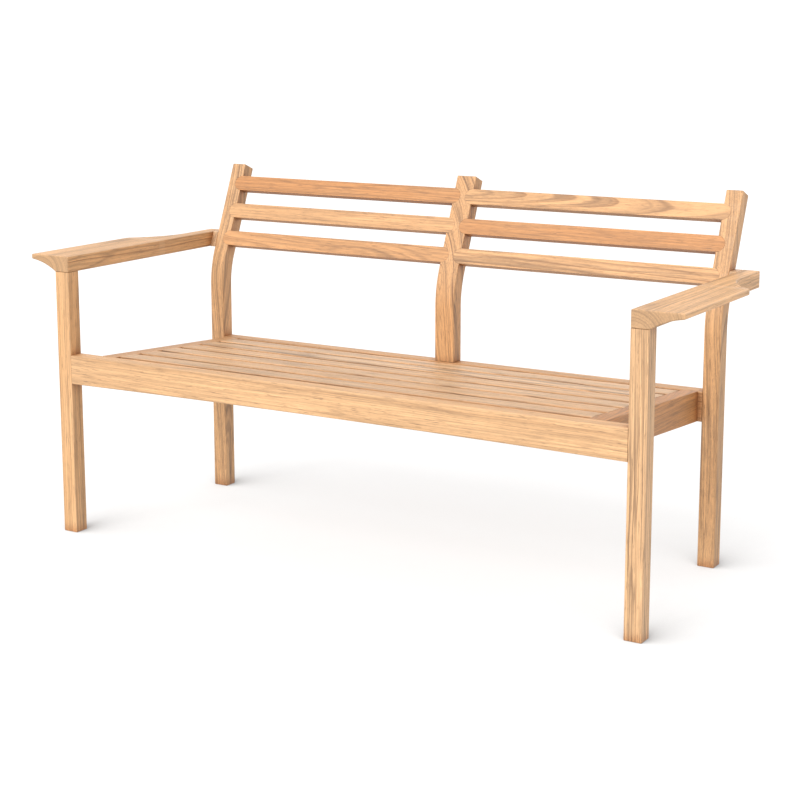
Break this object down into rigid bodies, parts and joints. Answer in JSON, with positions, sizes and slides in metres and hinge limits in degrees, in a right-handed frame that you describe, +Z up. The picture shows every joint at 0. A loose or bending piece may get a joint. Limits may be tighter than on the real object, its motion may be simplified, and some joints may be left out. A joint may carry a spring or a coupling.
{
  "type": "garden bench",
  "caption": "Slatted teak garden bench with flat armrests, a straight front rail and a back of horizontal slats between posts that bend and lean.",
  "frame": {"origin": "on the floor, below the middle of the overall bounding box", "axes": "+X along the bench, +Y to the back, +Z up; the front faces -Y"},
  "size_m": [1.67, 0.6802, 0.852],
  "materials": {
    "teak_light": "bare sanded teak, pale",
    "teak": "bare sanded teak",
    "teak_brown": "bare sanded teak, darker",
    "screw_steel": "plain stainless"
  },
  "bodies": {
    "root": {"front_leg_left": "teak_light", "front_leg_right": "teak_light", "rear_leg_left": "teak", "rear_leg_right": "teak", "middle_post": "teak", "front_rail": "teak_light", "rear_rail": "teak", "side_rail_left": "teak_brown", "side_rail_right": "teak_brown", "cross_bearer_left": "teak_brown", "cross_bearer_right": "teak_brown", "seat_slat_1": "teak_light", "seat_slat_2": "teak_light", "seat_slat_3": "teak_light", "seat_slat_4": "teak_light", "seat_slat_5": "teak_light", "seat_slat_6": "teak_light", "back_slat_left_top": "teak", "back_slat_left_middle": "teak", "back_slat_left_bottom": "teak", "back_slat_right_top": "teak", "back_slat_right_middle": "teak", "back_slat_right_bottom": "teak", "armrest_left": "teak_light", "armrest_right": "teak_light", "arm_spacer_left": "teak_light", "arm_spacer_right": "teak_light", "arm_dowels": "teak_brown", "seat_screws": "screw_steel", "back_screws": "screw_steel", "screw_plugs": "teak_brown"}
  },
  "joints": []
}
